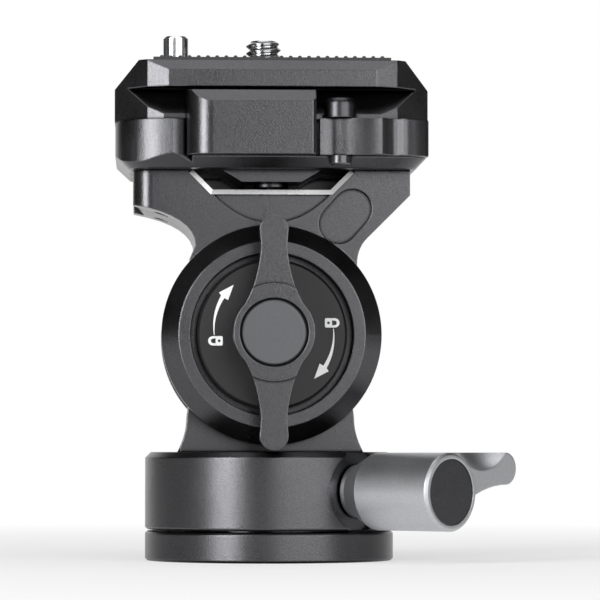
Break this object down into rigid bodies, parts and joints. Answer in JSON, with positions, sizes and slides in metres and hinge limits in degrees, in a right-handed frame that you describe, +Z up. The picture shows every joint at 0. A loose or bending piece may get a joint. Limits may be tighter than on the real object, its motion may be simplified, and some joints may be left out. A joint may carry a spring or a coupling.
{
  "type": "fluid video head",
  "caption": "Compact fluid tripod head: panning base with lever lock, tilting bracket with T-bar lock, and a quick release camera plate.",
  "frame": {"origin": "middle of the base's underside, on the pan axis, at the mouth of the tripod thread", "axes": "+Z up along the pan axis; Y along the tilt axis, with -Y towards the tilt lock lever; +X towards the pan handle socket"},
  "size_m": [0.0702, 0.0567, 0.0931],
  "materials": {
    "black_anodised_aluminium": "bead-blasted black anodised aluminium",
    "turned_cap": "fine turned grey anodised aluminium",
    "dial_black": "semi-gloss black",
    "silver_anodised_aluminium": "bead-blasted natural anodised",
    "brass": "turned",
    "bright_steel": "turned",
    "black_oxide_steel": "black oxide",
    "slip_polymer": "waxy",
    "grip_rubber": "matt"
  },
  "bodies": {
    "base": {"base_plate": "black_anodised_aluminium", "tripod_insert": "brass", "pan_spindle": "bright_steel", "spindle_screws": "black_oxide_steel", "spindle_nut": "bright_steel"},
    "pan": {"pan_housing": "black_anodised_aluminium", "pan_bush": "brass", "lower_slip_washer": "slip_polymer", "upper_slip_washer": "slip_polymer", "well_cover": "black_anodised_aluminium", "pan_lock_shoe": "brass", "upright": "black_anodised_aluminium", "upright_screws": "black_oxide_steel", "tilt_shaft": "bright_steel", "tilt_nut": "bright_steel", "tilt_dial": "dial_black"},
    "pan_lock": {"pan_lock_stud": "bright_steel", "pan_lock_lever": "silver_anodised_aluminium", "pan_lock_disc": "black_anodised_aluminium"},
    "tilt": {"bracket": "black_anodised_aluminium", "tilt_bushes": "brass", "tilt_slip_washers": "slip_polymer", "rear_cover": "black_anodised_aluminium", "rear_cover_screws": "black_oxide_steel", "clamp_base": "black_anodised_aluminium", "keel_screw": "black_oxide_steel", "clamp_screws": "black_oxide_steel", "jaw_guide_pins": "bright_steel", "jaw_springs": "bright_steel", "lever_pin": "black_oxide_steel"},
    "tilt_lock": {"tilt_lever": "black_anodised_aluminium", "tilt_lever_insert": "brass", "tilt_lever_cap": "turned_cap"},
    "jaw": {"front_jaw": "black_anodised_aluminium"},
    "quick_lever": {"clamp_lever": "black_anodised_aluminium"},
    "plate": {"camera_plate": "black_anodised_aluminium", "grip_pad": "grip_rubber", "locating_spring": "bright_steel", "pin_plug": "black_oxide_steel"},
    "camera_screw": {"camera_screw": "bright_steel", "screw_retainer": "bright_steel"},
    "locating_pin": {"locating_pin": "bright_steel"}
  },
  "joints": [
    {"name": "pan_turn", "type": "hinge", "parent": "base", "child": "pan", "pos_m": [0, 0, 0.0123], "axis": [0, 0, 1], "continuous": true},
    {"name": "pan_lock_turn", "type": "hinge", "parent": "pan", "child": "pan_lock", "pos_m": [0, 0, 0.0123], "axis": [0.7071, -0.7071, 0], "range_deg": [-10, 70]},
    {"name": "tilt_turn", "type": "hinge", "parent": "pan", "child": "tilt", "pos_m": [0, 0, 0.0395], "axis": [0, 1, 0], "range_deg": [-80, 60]},
    {"name": "tilt_lock_turn", "type": "hinge", "parent": "pan", "child": "tilt_lock", "pos_m": [0, -0.02, 0.0395], "axis": [0, -1, 0], "range_deg": [-30, 120]},
    {"name": "quick_lever_swing", "type": "hinge", "parent": "tilt", "child": "quick_lever", "pos_m": [0.0116, -0.02055, 0.0734], "axis": [0, 0, -1], "range_deg": [0, 90]},
    {"name": "jaw_open", "type": "slide", "parent": "tilt", "child": "jaw", "axis": [0, -1, 0], "range_m": [0, 0.002]},
    {"name": "plate_slide", "type": "slide", "parent": "tilt", "child": "plate", "axis": [1, 0, 0], "range_m": [-0.01, 0.01]},
    {"name": "camera_screw_turn", "type": "hinge", "parent": "plate", "child": "camera_screw", "pos_m": [-0.001, 0, 0.085], "axis": [0, 0, 1], "continuous": true},
    {"name": "locating_pin_press", "type": "slide", "parent": "plate", "child": "locating_pin", "axis": [0, 0, -1], "range_m": [0, 0.003], "stiffness_N_per_m": 300, "springref_m": -0.001, "deforming": ["locating_spring"]}
  ],
  "couplings": [
    {"joint": "quick_lever_swing", "follows": "jaw_open", "rad_per_m": 785.39}
  ]
}
